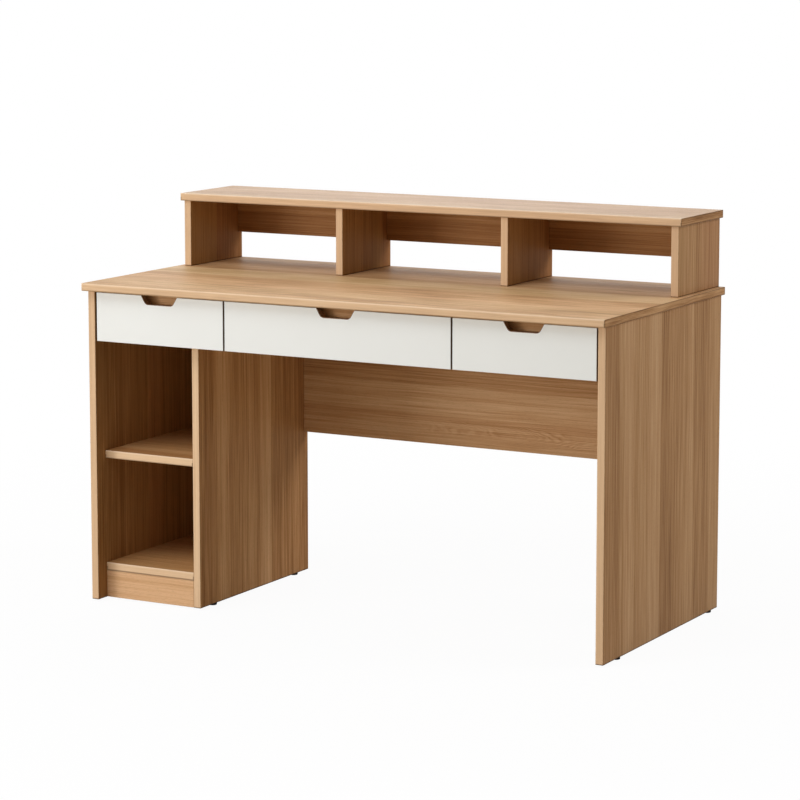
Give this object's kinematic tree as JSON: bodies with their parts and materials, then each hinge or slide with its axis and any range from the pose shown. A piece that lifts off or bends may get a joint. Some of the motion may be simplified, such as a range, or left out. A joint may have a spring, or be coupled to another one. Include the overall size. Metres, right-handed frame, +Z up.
{
  "type": "student desk with hutch",
  "caption": "Student desk with a row of drawers under the top, an open shelf pedestal at the left and a low open hutch along the back.",
  "frame": {"origin": "on the floor under the middle of the desktop's width and depth", "axes": "+X to the user's right along the desktop, +Y to the back (the drawers open towards -Y), +Z up"},
  "size_m": [1.326, 0.65, 0.926],
  "materials": {
    "oak_board": "light oak laminate, satin",
    "oak_band": "oak edge band, satin",
    "white_front": "warm white laminate, satin",
    "drawer_board": "pale laminate on board",
    "hardboard": "faced hardboard",
    "rail_steel": "zinc plated",
    "screw_steel": "zinc plated",
    "zinc": "die cast",
    "beech": "fluted beech",
    "black_plastic": "matt"
  },
  "bodies": {
    "root": {"bottom_shelf": "oak_board", "cam_bolts": "zinc", "cam_nuts": "zinc", "centre_drawer_outer_rails": "rail_steel", "desktop": "oak_board", "dowels": "beech", "drawer_bay_back": "oak_board", "drawer_deck": "oak_board", "feet": "black_plastic", "hutch_left_side": "oak_board", "hutch_partition_1": "oak_board", "hutch_partition_2": "oak_board", "hutch_rail_1": "oak_board", "hutch_rail_2": "oak_board", "hutch_rail_3": "oak_board", "hutch_right_side": "oak_board", "hutch_screws": "screw_steel", "hutch_top": "oak_board", "left_drawer_outer_rails": "rail_steel", "left_drawer_partition": "oak_board", "left_side_panel": "oak_board", "middle_shelf": "oak_board", "modesty_panel": "oak_board", "pedestal_back_panel": "oak_board", "pedestal_divider": "oak_board", "plinth": "oak_board", "rail_screws": "screw_steel", "right_drawer_outer_rails": "rail_steel", "right_drawer_partition": "oak_board", "right_side_panel": "oak_board"},
    "left_drawer": {"left_drawer_back": "drawer_board", "left_drawer_bottom": "hardboard", "left_drawer_box_front": "oak_board", "left_drawer_front": "white_front", "left_drawer_inner_rails": "rail_steel", "left_drawer_left_side": "drawer_board", "left_drawer_notch_band": "oak_band", "left_drawer_right_side": "drawer_board", "left_drawer_screws": "screw_steel"},
    "centre_drawer": {"centre_drawer_back": "drawer_board", "centre_drawer_bottom": "hardboard", "centre_drawer_box_front": "oak_board", "centre_drawer_front": "white_front", "centre_drawer_inner_rails": "rail_steel", "centre_drawer_left_side": "drawer_board", "centre_drawer_notch_band": "oak_band", "centre_drawer_right_side": "drawer_board", "centre_drawer_screws": "screw_steel"},
    "right_drawer": {"right_drawer_back": "drawer_board", "right_drawer_bottom": "hardboard", "right_drawer_box_front": "oak_board", "right_drawer_front": "white_front", "right_drawer_inner_rails": "rail_steel", "right_drawer_left_side": "drawer_board", "right_drawer_notch_band": "oak_band", "right_drawer_right_side": "drawer_board", "right_drawer_screws": "screw_steel"},
    "left_middle_rails": {"left_drawer_middle_rails": "rail_steel"},
    "centre_middle_rails": {"centre_drawer_middle_rails": "rail_steel"},
    "right_middle_rails": {"right_drawer_middle_rails": "rail_steel"}
  },
  "joints": [
    {"name": "left_drawer_slide", "type": "slide", "parent": "root", "child": "left_drawer", "axis": [0, -1, 0], "range_m": [0, 0.42]},
    {"name": "centre_drawer_slide", "type": "slide", "parent": "root", "child": "centre_drawer", "axis": [0, -1, 0], "range_m": [0, 0.42]},
    {"name": "right_drawer_slide", "type": "slide", "parent": "root", "child": "right_drawer", "axis": [0, -1, 0], "range_m": [0, 0.42]},
    {"name": "left_middle_rail_slide", "type": "slide", "parent": "root", "child": "left_middle_rails", "axis": [0, -1, 0], "range_m": [0, 0.21]},
    {"name": "centre_middle_rail_slide", "type": "slide", "parent": "root", "child": "centre_middle_rails", "axis": [0, -1, 0], "range_m": [0, 0.21]},
    {"name": "right_middle_rail_slide", "type": "slide", "parent": "root", "child": "right_middle_rails", "axis": [0, -1, 0], "range_m": [0, 0.21]}
  ],
  "couplings": [
    {"joint": "left_middle_rail_slide", "follows": "left_drawer_slide", "ratio": 0.5},
    {"joint": "centre_middle_rail_slide", "follows": "centre_drawer_slide", "ratio": 0.5},
    {"joint": "right_middle_rail_slide", "follows": "right_drawer_slide", "ratio": 0.5}
  ]
}
